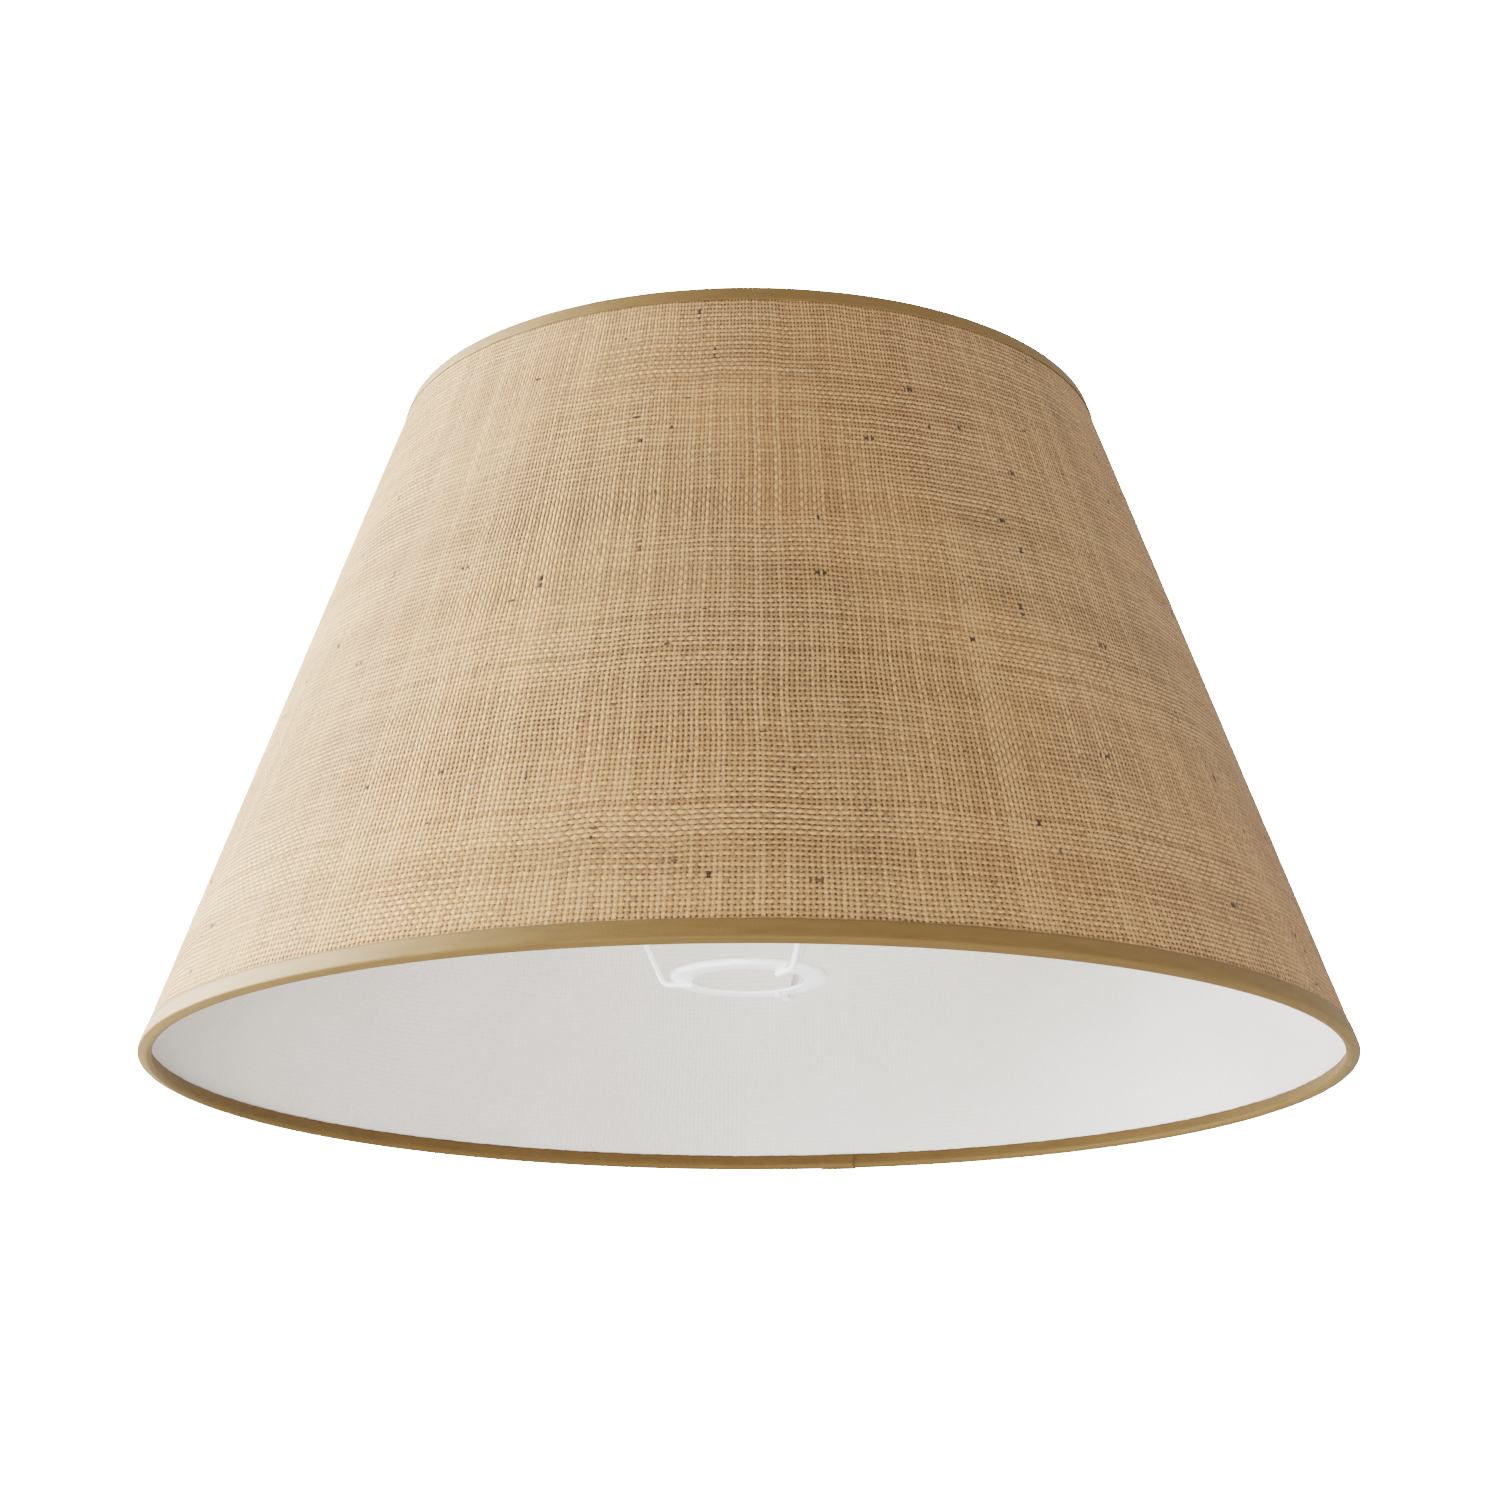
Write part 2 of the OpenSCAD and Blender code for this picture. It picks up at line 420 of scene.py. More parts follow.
class Weave:
    """The two sets of threads at a point, from its place in threads around and rows up."""

    def __init__(self, graph, around, up):
        self.graph = graph
        wander = graph.noise(graph.vector(around * 0.03, up * 0.05), 1, 2) - 0.5
        sway = graph.noise(graph.vector(around * 0.05, up * 0.03, 7), 1, 2) - 0.5
        hairy = graph.noise(graph.vector(around * 1.7, up * 1.7, 13), 1, 4) - 0.5
        hairy_up = graph.noise(graph.vector(around * 1.7, up * 1.7, 29), 1, 4) - 0.5
        self.around = around + wander * WANDER + hairy * HAIRINESS
        self.up = up + sway * WANDER + hairy_up * HAIRINESS
        self.dense = graph.noise(graph.vector(around * 0.021, up * 0.03, 11), 1, 3).above(0.3, 0.7)
        self.upright = self.thread(self.around, self.up, UPRIGHT)
        self.cross = self.thread(self.up, self.around, CROSS)
        lean = (graph.noise(graph.vector(around * 0.018, up * 0.03, 19), 1, 2) - 0.5) * LEAN
        upright_top = self.upright["top"] * (1 + lean)
        cross_top = self.cross["top"] * (1 - lean)
        self.height = upright_top.max(cross_top)
        self.over = (upright_top - cross_top).above(-0.04, 0.04)

    def thread(self, across, along, seed):
        """One set of threads: a thread's own shade of colour, its bits of bark, and its relief."""
        number = across.floor()
        offset = across - number - 0.5
        own = self.graph.chance(number + seed)
        uneven = self.graph.noise(self.graph.vector(number * 7.3, along * 0.16, seed), 1, 2)
        half = HALF_WIDTH[seed] + own * 0.06 + uneven * 0.14 + self.dense * 0.1
        inside = 1 - (offset / half).power(2)
        parity = number.math("PINGPONG", 1) * 2 - 1
        wave = (along * math.pi).sin() * parity
        if seed == CROSS:
            wave = wave * -1
        relief = inside.max(0).power(0.5)
        top = relief * 0.6 + wave * 0.17 * relief.above(0, 0.3) + 0.18
        piece = (along / BARK_LENGTH + own * 7).floor()
        luck = self.graph.chance(number * 173.3 + piece * 7.7 + seed)
        bark = luck.above(*BARK_LUCK)
        stain = luck.above(*STAIN_LUCK) * 0.35
        return {"own": own, "bark": bark * 0.85 + stain, "top": top * inside.above(-0.02, 0.1)}


print("weave:", WEAVE_AROUND, "threads around,", round(cover_len / ROW_PITCH), "rows up")

# %% [markdown]
# Raw jute isn't one colour. Whole areas lean to straw, to olive or to orange, single threads are
# paler or browner than their neighbours, and here and there a bit of dark bark is spun in. The
# fibres show as fine streaks along each thread. The cloth is matt, with a soft sheen from loose ends.
#
# The noises read the two counts, so their scales are in threads: 0.016 makes patches some sixty threads
# wide, and 7 makes streaks much finer than a thread.

# %% Jute
STRAW = (0.58, 0.35, 0.185)
TAN = (0.37, 0.197, 0.086)
RUST = (0.32, 0.15, 0.06)
OLIVE = (0.25, 0.156, 0.077)
BARK = (0.035, 0.022, 0.014)
# Painted shade: the dark brown of the holes and of the low parts of the threads.
HOLE_SHADE = (0.085, 0.038, 0.007)


def jute_finish():
    material, graph, shader = finish_of(
        "jute", Roughness=0.8, Specular_IOR_Level=0.2, Sheen_Weight=0.22, Sheen_Roughness=0.4
    )
    around, up = graph.two_counts("threads")
    weave = Weave(graph, around, up)
    patch = graph.noise(graph.vector(around * 0.016, up * 0.022, 3), 1, 3)
    drift = graph.noise(graph.vector(around * 0.03, up * 0.012, 9), 1, 3)
    streak_up = graph.noise(graph.vector(weave.around * 7, weave.up * 0.7), 1, 3)
    streak_across = graph.noise(graph.vector(weave.around * 0.7, weave.up * 7, 4), 1, 3)
    upright, cross = weave.upright, weave.cross
    own = upright["own"] * weave.over + cross["own"] * (1 - weave.over)
    streak = streak_up * weave.over + streak_across * (1 - weave.over)
    ground = graph.blend(patch.above(0.32, 0.68), OLIVE, RUST)
    ground = graph.blend(drift.above(0.1, 0.75) * 0.6, ground, TAN)
    pale = (own * 0.3 + streak * 0.95 - 0.16).above(0.1, 0.85)
    colour = graph.blend(pale, ground, STRAW)
    grain = graph.noise(graph.vector(around * 5, up * 5, 17), 1, 4)
    # Painted shade: the low parts of the relief (the edges of the threads, the threads that dip under, and
    # the holes) turn dark brown, broken up by the grain.
    shade = (weave.height + (grain - 0.5) * 0.9).above(0.21, 0.99)
    colour = graph.blend(shade, HOLE_SHADE, colour)
    bark = upright["bark"] * weave.over + cross["bark"] * (1 - weave.over)
    bark = bark * (grain * 1.6).min(1)
    colour = graph.blend(bark, colour, BARK)
    graph.feed(shader.inputs["Base Color"], colour)
    relief = weave.height + streak * 0.2 + grain * 0.3
    graph.feed(shader.inputs["Normal"], graph.bump(relief, 1.0 * MM, 1))
    return material


jute = jute_finish()
print("jute:", len(jute.node_tree.nodes), "nodes")

# %% [markdown]
# The lining is a white satin sheet. The jute is pressed onto its back, so the weave prints through as
# a faint relief, which the bump shows where light grazes it. Its low parts are also painted a little
# darker, as painted shade, and flecks are painted lighter and darker, as painted glints of the pressed
# sheet. It needs the same threads as the cover.

# %% Lining
LINING_WHITE = (0.67, 0.638, 0.606)
LINING_BLOTCH_AND_SHADE = (0.59, 0.56, 0.53)


def lining_finish():
    material, graph, shader = finish_of("lining", Specular_IOR_Level=0.4)
    around, up = graph.two_counts("threads")
    weave = Weave(graph, around, up)
    cloud = graph.noise(graph.node("ShaderNodeTexCoord").outputs["Object"], 9, 4)
    fleck = graph.noise(graph.vector(around * 0.8, up * 0.5, 6), 1, 2)
    # Painted shade and glints: the weave's low parts are a little darker, and the flecks lighter or darker.
    # The cloud is the sheet's own uneven tone.
    tone = cloud * 0.8 + (weave.height - 0.5) * 0.16 + (fleck - 0.5) * 0.3
    colour = graph.blend(tone.above(0.15, 0.65), LINING_BLOTCH_AND_SHADE, LINING_WHITE)
    graph.feed(shader.inputs["Base Color"], colour)
    graph.feed(shader.inputs["Roughness"], 0.34 + fleck * 0.2)
    pressed = weave.height * (cloud * 0.8 + 0.2) + fleck * 0.5
    graph.feed(shader.inputs["Normal"], graph.bump(pressed, 0.2 * MM, 1))
    return material


lining_white = lining_finish()
print("lining:", len(lining_white.node_tree.nodes), "nodes")

# %% [markdown]
# The binding tape is a khaki cotton satin: long floats run across it, so it is smooth, with fine
# close ribs and a soft shine. Its own map, `tape`, is in millimetres along and across the tape.

# %% Tape
KHAKI = (0.178, 0.107, 0.042)
KHAKI_DARK = (0.128, 0.077, 0.028)
RIB_PITCH = 0.42
FLOAT_PITCH = 0.9


def tape_finish():
    material, graph, shader = finish_of(
        "binding_tape",
        Specular_IOR_Level=0.35,
        Specular_Tint=(1.0, 0.88, 0.7),
        Sheen_Weight=0.14,
        Sheen_Tint=(1.0, 0.85, 0.6),
        Sheen_Roughness=0.35,
    )
    along, across = graph.two_counts("tape")
    wander = graph.noise(graph.vector(along * 0.15, across * 0.4), 1, 2) * 0.8
    rib = (along + wander * 0.3) / RIB_PITCH
    rib_number = rib.floor()
    shift = graph.chance(rib_number)
    float_wave = ((across / FLOAT_PITCH + shift) * FULL_TURN).sin() * 0.5 + 0.5
    rib_wave = 1 - ((rib - rib_number - 0.5) * 2).power(2)
    cloud = graph.noise(graph.vector(along * 0.05, across * 0.3, 3), 1, 3)
    lint = graph.noise(graph.vector(along * 2.2, across * 2.2, 8), 1, 3)
    relief = rib_wave * 0.6 + float_wave * 0.4
    # Painted shade: the troughs of the ribs and floats are a little darker. The cloud and the lint are the
    # tape's own uneven tone.
    tone = (cloud * 0.6 + lint * 0.35 + relief * 0.22).above(0.25, 0.85)
    graph.feed(shader.inputs["Base Color"], graph.blend(tone, KHAKI_DARK, KHAKI))
    graph.feed(shader.inputs["Roughness"], 0.48 + lint * 0.2)
    graph.feed(shader.inputs["Normal"], graph.bump(relief + lint * 0.5, 0.06 * MM, 0.8))
    return material


tape = tape_finish()
print("tape:", len(tape.node_tree.nodes), "nodes")

# %% [markdown]
# The arms, the fitter ring and the rim wires are steel with a white powder coat. The powder melts into
# a smooth film with a slight orange peel. Object coordinates are in metres, so the peel is as fine on
# every piece. The adhesive in the lap is hidden, and has the same recipe in its own colour.

# %% Powder coat and adhesive
def powder_finish(name, white, shade, peel):
    material, graph, shader = finish_of(name, Specular_IOR_Level=0.5, Coat_Roughness=0.12)
    place = graph.node("ShaderNodeTexCoord").outputs["Object"]
    film = graph.noise(place, 900, 2)
    cloud = graph.noise(place, 60, 3)
    graph.feed(shader.inputs["Base Color"], graph.blend(cloud.above(0.3, 0.7), shade, white))
    graph.feed(shader.inputs["Roughness"], 0.26 + cloud * 0.14)
    graph.feed(shader.inputs["Coat Weight"], 0.25 + film * 0.2)
    graph.feed(shader.inputs["Normal"], graph.bump(film, peel, 0.6))
    return material


powder_white = powder_finish("powder_coat", (0.94, 0.94, 0.94), (0.91, 0.91, 0.91), 0.03 * MM)
wire_white = powder_finish("rim_wire_coat", (0.84, 0.84, 0.83), (0.79, 0.79, 0.78), 0.04 * MM)
adhesive = powder_finish("adhesive", (0.78, 0.75, 0.66), (0.70, 0.67, 0.58), 0.06 * MM)
print("powder coat:", len(powder_white.node_tree.nodes), "nodes")

# %% [markdown]
# ## Sheets rolled into a cone
#
# The cover, the lining and the tapes are all thin sheets that go round the axis. Each is described by
# its section at one turn angle: a loop of points that goes up one face and back down the other. A list
# of such sections, joined in order, is a closed shell with a real thickness. Modifiers could thicken
# a plain surface instead, but the folded edge of the cloth and the slits in the tape need sections
# that change from place to place.

# %% Place a point on the cone, and join sections into a shell
def on_cone(turn, up, proud):
    """A point at a turn from the lap, a distance up the cover's side, and a distance out from it."""
    r = low_r - up * math.sin(slope) + proud * math.cos(slope)
    z = low_z + up * math.cos(slope) + proud * math.sin(slope)
    return (r * math.sin(turn), r * math.cos(turn), z)


def joined_shell(name, sections, maps, map_name, closed):
    """A mesh from sections, which are loops with as many points on the way up as on the way back.
    A closed shell has one map more than it has sections, because its first section is met twice."""
    points = np.array(sections, float)
    columns, size = points.shape[:2]
    index = np.arange(len(maps) * size).reshape(-1, size)
    starts, ends = index[:-1], index[1:]
    quads = [starts, ends, np.roll(ends, -1, axis=1), np.roll(starts, -1, axis=1)]
    faces = np.stack(quads, axis=-1).reshape(-1, 4)
    if not closed:
        half = size // 2
        first = np.arange(half - 1)
        last = size - 1 - first
        ladder = np.stack([first, first + 1, last - 1, last], axis=-1)
        faces = np.concatenate([faces, index[0][ladder[:, ::-1]], index[-1][ladder]])
    flat_points = points.reshape(-1, 3)
    corners = faces % len(flat_points)
    a, b, c, d = (flat_points[corners[:, k]] for k in range(4))
    volume = (a * np.cross(b, c)).sum() + (a * np.cross(c, d)).sum()
    if volume < 0:
        faces, corners = faces[:, ::-1], corners[:, ::-1]
    mesh = bpy.data.meshes.new(name)
    mesh.from_pydata(flat_points.tolist(), [], corners.tolist())
    layer = mesh.uv_layers.new(name=map_name)
    flat_maps = np.array(maps, float).reshape(-1, 2)
    layer.data.foreach_set("uv", flat_maps[faces.ravel()].ravel())
    mesh.polygons.foreach_set("use_smooth", np.ones(len(faces), bool))
    mesh.update()
    return in_scene(name, mesh)


def hand_over(piece, node=None):
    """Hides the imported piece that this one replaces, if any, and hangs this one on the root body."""
    if node:
        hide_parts(node)
    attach(piece, "root")
    print(piece.name + ":", len(piece.data.polygons), "faces")


print("shell builder ready")

# %% [markdown]
# ## The lap
#
# The cloth starts under the lap, goes once round, climbs over its own start and is stuck down for
# 12 mm. It is folded under at the end, so the edge that shows is round. The climb takes a few
# millimetres, because stiffened cloth doesn't bend sharply.
#
# A column of the cloth is given by its share of the way round and an offset along the rim, so the lap
# keeps its width from the wide rim to the narrow one.

# %% Columns of the cloth
lap_low, lap_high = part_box("lap_adhesive")
lap_w = lap_high.x - lap_low.x
lap_rise = max(v.co.y for v in frame["nodes"]["jute_cover"].data.vertices) - low_r
lap_rise = lap_rise / math.cos(slope)
CLIMB = 3.5 * MM
START_BACK = lap_w - 0.8 * MM
BODY_COLUMNS = 690
LAP_OFFSETS = [2.5, 5.0, 7.5, 9.5]
CLIMB_STEPS = 8


def turn_at(share, offset, up):
    """The turn of a column: its share of the way round, less or more an offset along the rim."""
    return FULL_TURN * share + offset / (low_r - up * math.sin(slope))


def climb_level(behind):
    """How far the cloth stands out, this far before its folded edge: the lap's rise, or nothing."""
    reach = (lap_w + CLIMB - behind) / CLIMB
    reach = min(max(reach, 0), 1)
    return lap_rise * reach * reach * (3 - 2 * reach)


def cloth_columns():
    """Each column of the cloth: its share and offset, and how far its outer face stands out."""
    columns = [(0.0, -START_BACK * k / 4, 0.0) for k in (4, 3, 2, 1)]
    end_of_body = lap_w + CLIMB + 1 * MM
    for k in range(BODY_COLUMNS + 1):
        share = k / BODY_COLUMNS
        columns.append((share, -end_of_body * share, 0.0))
    for k in range(1, CLIMB_STEPS + 1):
        behind = lap_w + CLIMB * (1 - k / CLIMB_STEPS)
        columns.append((1.0, -behind, climb_level(behind)))
    for step in LAP_OFFSETS:
        columns.append((1.0, step * MM - lap_w, lap_rise))
    columns.append((1.0, -1 * MM, lap_rise))
    return columns


columns = cloth_columns()
print(f"lap {lap_w / MM:.1f} mm wide, {lap_rise / MM:.2f} mm proud;", len(columns), "columns")

# %% [markdown]
# ## The jute cover
#
# The outer face has a point for nearly every upright thread and every second row, so thick and thin
# yarn can stand out or sink in by a few hundredths of a millimetre. The over and under of the weave
# would take far more points, so it stays in the shader. The random numbers have a fixed seed.

# %% Build the cover
ROWS = 66
THREAD_RELIEF = 0.07 * MM
LEAST_CLOTH = 0.1 * MM
FOLD_STEPS = 6
ROW_SHIFT = 0.35
yarn = np.random.default_rng(11)
around_relief = yarn.normal(0, 1, len(columns) + FOLD_STEPS)
up_relief = yarn.normal(0, 1, ROWS + 1)


def threads_at(turn, up):
    """The place of a point in threads around and rows up. The last row meets the first out of step."""
    return (turn / FULL_TURN * WEAVE_AROUND, up / ROW_PITCH + ROW_SHIFT * turn / FULL_TURN)


def cover_section(number, share, offset, level, nose=0.0):
    """One section of the cover. nose turns the outer face under, from 0 to 1, at the folded edge."""
    out, back, out_map, back_map = [], [], [], []
    drop = (lap_rise + jute_t) / 2
    for row in range(ROWS + 1):
        up = cover_len * row / ROWS
        lift = THREAD_RELIEF * (around_relief[number] + up_relief[row]) / 2
        lift = lift * min(row, ROWS - row, 2) / 2
        angle = math.pi * nose
        proud = level + lift - drop / 2 * (1 - math.cos(angle))
        ahead = offset + drop / 2 * math.sin(angle)
        turn = turn_at(share, ahead, up)
        inner_turn = turn_at(share, offset, up)
        out.append(on_cone(turn, up, proud))
        back.append(on_cone(inner_turn, up, min(level - jute_t, proud - LEAST_CLOTH)))
        out_map.append(threads_at(turn, up))
        back_map.append(threads_at(inner_turn, up))
    return out + back[::-1], out_map + back_map[::-1]


def build_cover():
    sections, maps = [], []
    for number, (share, offset, level) in enumerate(columns):
        section, section_map = cover_section(number, share, offset, level)
        sections.append(section)
        maps.append(section_map)
    share, offset, level = columns[-1]
    for step in range(1, FOLD_STEPS + 1):
        nose = step / FOLD_STEPS
        section, section_map = cover_section(len(columns), share, offset, level, nose)
        sections.append(section)
        maps.append(section_map)
    return joined_shell("jute_cover_cloth", sections, maps, "threads", closed=False)


cover = build_cover()
cover.data.materials.append(jute)
hand_over(cover, "jute_cover")

# %% [markdown]
# The size that a sheet was cut to is worked out here. A cone unrolls into a slice of a flat ring: its two
# radii are the cone's slant lengths from the tip, and its angle is the turn times the sine of the
# slope. The rectangle that this slice is cut from gives the cut's width and length.

def cone_cut(first, last, extra):
    """Width, length and area of the flat cut of a cone between two places up the side."""
    outer = low_r / math.sin(slope) - first
    inner = low_r / math.sin(slope) - last
    spread = FULL_TURN * math.sin(slope) + extra / outer
    width = 2 * outer * math.sin(spread / 2)
    length = outer - inner * math.cos(spread / 2)
    return (width, length), spread * (outer**2 - inner**2) / 2


cover_flat, cover_area = cone_cut(0, cover_len, lap_w)
print("cover cut:", [round(s, 3) for s in cover_flat], "m, area", round(cover_area, 3), "square metres")

# %% [markdown]
# ## The lining
#
# Seen from inside, the lining is one smooth cone: its two ends meet edge to edge, so closely that the
# joint doesn't show. A narrow strip of the same sheet lies outside that joint, inside the lap. The
# cloth is folded round it.

# %% Build the lining
LINING_ROWS = 60
LINING_COLUMNS = 360
STRIP_MARGINS = (0.4 * MM, 1 * MM)


def lining_section(turn, low_face, high_face, shift=0):
    """One section of the lining between two faces. shift moves it along the rim."""
    sides, side_maps = [], []
    for proud in (high_face, low_face):
        ups = [cover_len * row / LINING_ROWS for row in range(LINING_ROWS + 1)]
        turns = [turn + shift / (low_r - up * math.sin(slope)) for up in ups]
        sides.append([on_cone(t, up, proud) for t, up in zip(turns, ups)])
        side_maps.append([threads_at(t, up) for t, up in zip(turns, ups)])
    return sides[0] + sides[1][::-1], side_maps[0] + side_maps[1][::-1]


def build_lining():
    turns = [FULL_TURN * k / LINING_COLUMNS for k in range(LINING_COLUMNS + 1)]
    parts = [lining_section(turn, -panel_t, -jute_t) for turn in turns]
    sections = [section for section, section_map in parts[:-1]]
    maps = [section_map for section, section_map in parts]
    return joined_shell("white_lining", sections, maps, "threads", closed=True)


def build_lap_strip():
    rise = lap_rise - jute_t
    shifts = [-lap_w + STRIP_MARGINS[0], -lap_w / 2, -STRIP_MARGINS[1]]
    parts = [lining_section(0, rise - lining_t, rise, shift) for shift in shifts]
    return joined_shell("lap_strip", [p[0] for p in parts], [p[1] for p in parts], "threads", closed=False)


def joined(piece, other):
    """Puts the other piece's mesh into the first one."""
    both = bmesh.new()
    both.from_mesh(piece.data)
    both.from_mesh(other.data)
    both.to_mesh(piece.data)
    both.free()
    bpy.data.objects.remove(other)
    return piece


lining = joined(build_lining(), build_lap_strip())
lining.data.materials.append(lining_white)
hand_over(lining, "lining")

# %% [markdown]
# ## Binding tape
#
# A strip of tape is glued over each rim. Its section goes down the outside of the cover, round the
# edge, round the wire, and a short way up the lining. The strip is 17 to 18 mm wide, and it is cut a
# little longer than the rim, so its end overlaps its start near the lap. On the inside it covers a
# shorter circle than it was cut for, so it puckers slightly there, and its edges are never quite even.
#
# The same section serves both rims: the top one is read from the other end of the cover's side.

# %% The tape's section
EDGE_THIN = 0.6


def arc(centre, r, first, last, steps):
    """Points along an arc, both ends included. Angles are in degrees."""
    angles = np.radians(np.linspace(first, last, steps + 1))
    return [(centre[0] + r * math.cos(a), centre[1] + r * math.sin(a)) for a in angles]


def line(first, last, steps):
    """Points from first towards last, without last."""
    return [
        (first[0] + (last[0] - first[0]) * k / steps, first[1] + (last[1] - first[1]) * k / steps)
        for k in range(steps)
    ]


def tape_face(lift, out_w, in_w, cut=False):
    """One face of the tape in section, lift above what it lies on. cut ends it at the wire, for a slit.
    A point is how far it stands out from the cover, and how far it is from the cover's edge."""
    wire = (wire_x, wire_y)
    fold_r = rim_wire_r + lift
    if cut:
        touch = -180
        end = (wire_x - fold_r, wire_y + 0.05 * MM)
    else:
        end = (-panel_t - lift, in_w)
        reach = (end[0] - wire_x, end[1] - wire_y)
        far = math.degrees(math.atan2(reach[1], reach[0]))
        touch = far + math.degrees(math.acos(min(fold_r / math.hypot(*reach), 1))) - 360
    outside = line((lift, out_w), (lift, tape_t), 8)
    edge = arc((-tape_t, tape_t), tape_t + lift, 0, -90, 6)
    fold = arc(wire, fold_r, -90, touch, 14)
    inside = line(fold[-1], end, 6)[1:] + [end]
    return outside + edge + fold + inside


section_points = len(tape_face(tape_t, *bottom_widths))
print("points across the tape:", section_points)


# %% Uneven edges, puckers and the overlap
def waver(seed, lengths):
    """A smooth random wave of a distance, from -1 to 1, made of sines with these wave lengths."""
    dice = np.random.default_rng(seed)
    parts = [(length * MM, dice.uniform(0, FULL_TURN), dice.uniform(0.6, 1)) for length in lengths]
    total = sum(weight for length, phase, weight in parts)

    def wave(distance):
        sines = (w * math.sin(FULL_TURN * distance / length + p) for length, p, w in parts)
        return sum(sines) / total

    return wave


JOIN_OFFSET = 34 * MM
JOIN_OVERLAP = 14 * MM
JOIN_CLIMB = 2 * MM
SLIT_GAP = 0.3 * MM
SLIT_STEP = 0.04 * MM
HUMP_END = 1.6 * MM


def smooth(share):
    share = min(max(share, 0), 1)
    return share * share * (3 - 2 * share)


def lap_hump(distance):
    """How far the lap lifts the tape, at a distance along the rim from the lap's folded edge."""
    if distance > 0:
        return lap_rise * (1 - smooth(distance / HUMP_END))
    return lap_rise * smooth((distance + lap_w + CLIMB + 0.6 * MM) / CLIMB)


def arm_turn(node):
    """The turn at which an arm stands."""
    low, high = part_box(node)
    middle_x, middle_y = (low.x + high.x) / 2, (low.y + high.y) / 2
    return math.atan2(middle_x, middle_y) % FULL_TURN


ARMS = ("arm_left", "arm_front_right", "arm_back_right")
arm_turns = [arm_turn(node) for node in ARMS]
print("arms at", [round(math.degrees(turn)) for turn in arm_turns], "degrees from the lap")


# %% Build a tape
TAPE_COLUMNS = 640
LAP_COLUMNS = 48
JOIN_COLUMNS = 16
EDGE_WAVER = 0.16 * MM
PUCKER = 0.13 * MM
SAG = 0.04 * MM


def tape_turns(rim_r, slits):
    """The turns of the tape's columns from its start to its end, with two close ones at a slit's sides."""
    first = JOIN_OFFSET / rim_r
    last = first + FULL_TURN + JOIN_OVERLAP / rim_r
    turns = list(np.linspace(first, last, TAPE_COLUMNS))
    over_lap = np.linspace(-(lap_w + CLIMB + 1.5 * MM), 2.2 * MM, LAP_COLUMNS)
    turns += list(over_lap / rim_r + FULL_TURN)
    turns += list(last - np.linspace(0, JOIN_OVERLAP + JOIN_CLIMB, JOIN_COLUMNS) / rim_r)
    for place in slits:
        half = (arm_r + SLIT_GAP) / rim_r
        step = SLIT_STEP / rim_r
        turns = [t for t in turns if abs(t - place) > half + step]
        turns += [place - half - step, place - half, place, place + half, place + half + step]
    return sorted(turns)


def build_tape(name, rim, out_w, in_w, rim_r, seed, slits=()):
    """A tape over one rim. rim turns a distance from the cover's edge into a place up its side."""
    edge_out, edge_in = waver(seed, (31, 12, 5.5)), waver(seed + 1, (26, 10, 4.7))
    pucker = waver(seed + 2, (7.3, 4.1, 11))
    sag = waver(seed + 3, (60, 23))
    last = JOIN_OFFSET / rim_r + FULL_TURN + JOIN_OVERLAP / rim_r
    sections, maps = [], []
    for turn in tape_turns(rim_r, slits):
        distance = turn * rim_r
        before_end = (last - turn) * rim_r
        join = smooth((JOIN_OVERLAP + JOIN_CLIMB - before_end) / JOIN_CLIMB) * tape_t
        hump = lap_hump((turn - FULL_TURN) * rim_r) if turn > math.pi else 0
        cut = any(abs(turn - place) * rim_r < arm_r + SLIT_GAP + SLIT_STEP / 2 for place in slits)
        wide = out_w + EDGE_WAVER * edge_out(distance)
        deep = in_w + EDGE_WAVER * edge_in(distance)
        loops, loop_maps = [], []
        for lift in (join + tape_t, join):
            face = tape_face(lift, wide, deep, cut)
            points, places = [], []
            across = 0
            for number, (x, y) in enumerate(face):
                if number:
                    across += math.dist((x, y), face[number - 1])
                on_cover = smooth((x - wire_x) / -wire_x)
                inward = smooth((y - wire_y) / (in_w - wire_y)) * (1 - on_cover)
                x += hump * on_cover - PUCKER * inward * (0.5 + 0.5 * pucker(distance))
                x += SAG * sag(distance) * on_cover
                points.append(on_cone(turn, rim(y), x))
                places.append((distance / MM, across / MM))
            loops.append(points)
            loop_maps.append(places)
        upper, lower = np.array(loops[0][0]), np.array(loops[1][0])
        loops[0][0] = tuple(upper * EDGE_THIN + lower * (1 - EDGE_THIN))
        sections.append(loops[0] + loops[1][::-1])
        maps.append(loop_maps[0] + loop_maps[1][::-1])
    piece = joined_shell(name, sections, maps, "tape", closed=False)
    piece.data.materials.append(tape)
    return piece


bottom_tape = build_tape("bottom_tape", lambda y: y, *bottom_widths, low_r, 21)
top_tape = build_tape("top_tape", lambda y: cover_len - y, *top_widths, high_r, 41, arm_turns)
hand_over(bottom_tape, "bottom_binding")
hand_over(top_tape, "top_binding")

def tape_cut(widths, rim_r):
    """Width and length of the strip: across its section, and round the rim with the overlap."""
    face = tape_face(tape_t, *widths)
    width = sum(math.dist(a, b) for a, b in zip(face, face[1:]))
    return width, FULL_TURN * rim_r + JOIN_OVERLAP


bottom_cut, top_cut = tape_cut(bottom_widths, low_r), tape_cut(top_widths, high_r)
print("tape cuts, mm:", [round(s / MM, 1) for s in (*bottom_cut, *top_cut)])

# %% [markdown]
# ## The fitter ring
#
# The ring is pressed from sheet steel: a flat flange with a hole, and a lip turned up round its rim.
# A press leaves no sharp edge, so each corner of the section is an arc. The section is turned round
# the axis, which is the same job as joining sections into a shell, with the last joined to the first.

# %% Build the fitter ring
RING_COLUMNS = 288
PRESSED_EDGE = 0.4 * MM
bore_mount = next(m for m in frame["record"]["mounts"] if m["kind"] == "bore")
ring_sheet = bore_mount["dims"]["length_mm"] * MM
ring_bend = 1.5 * ring_sheet


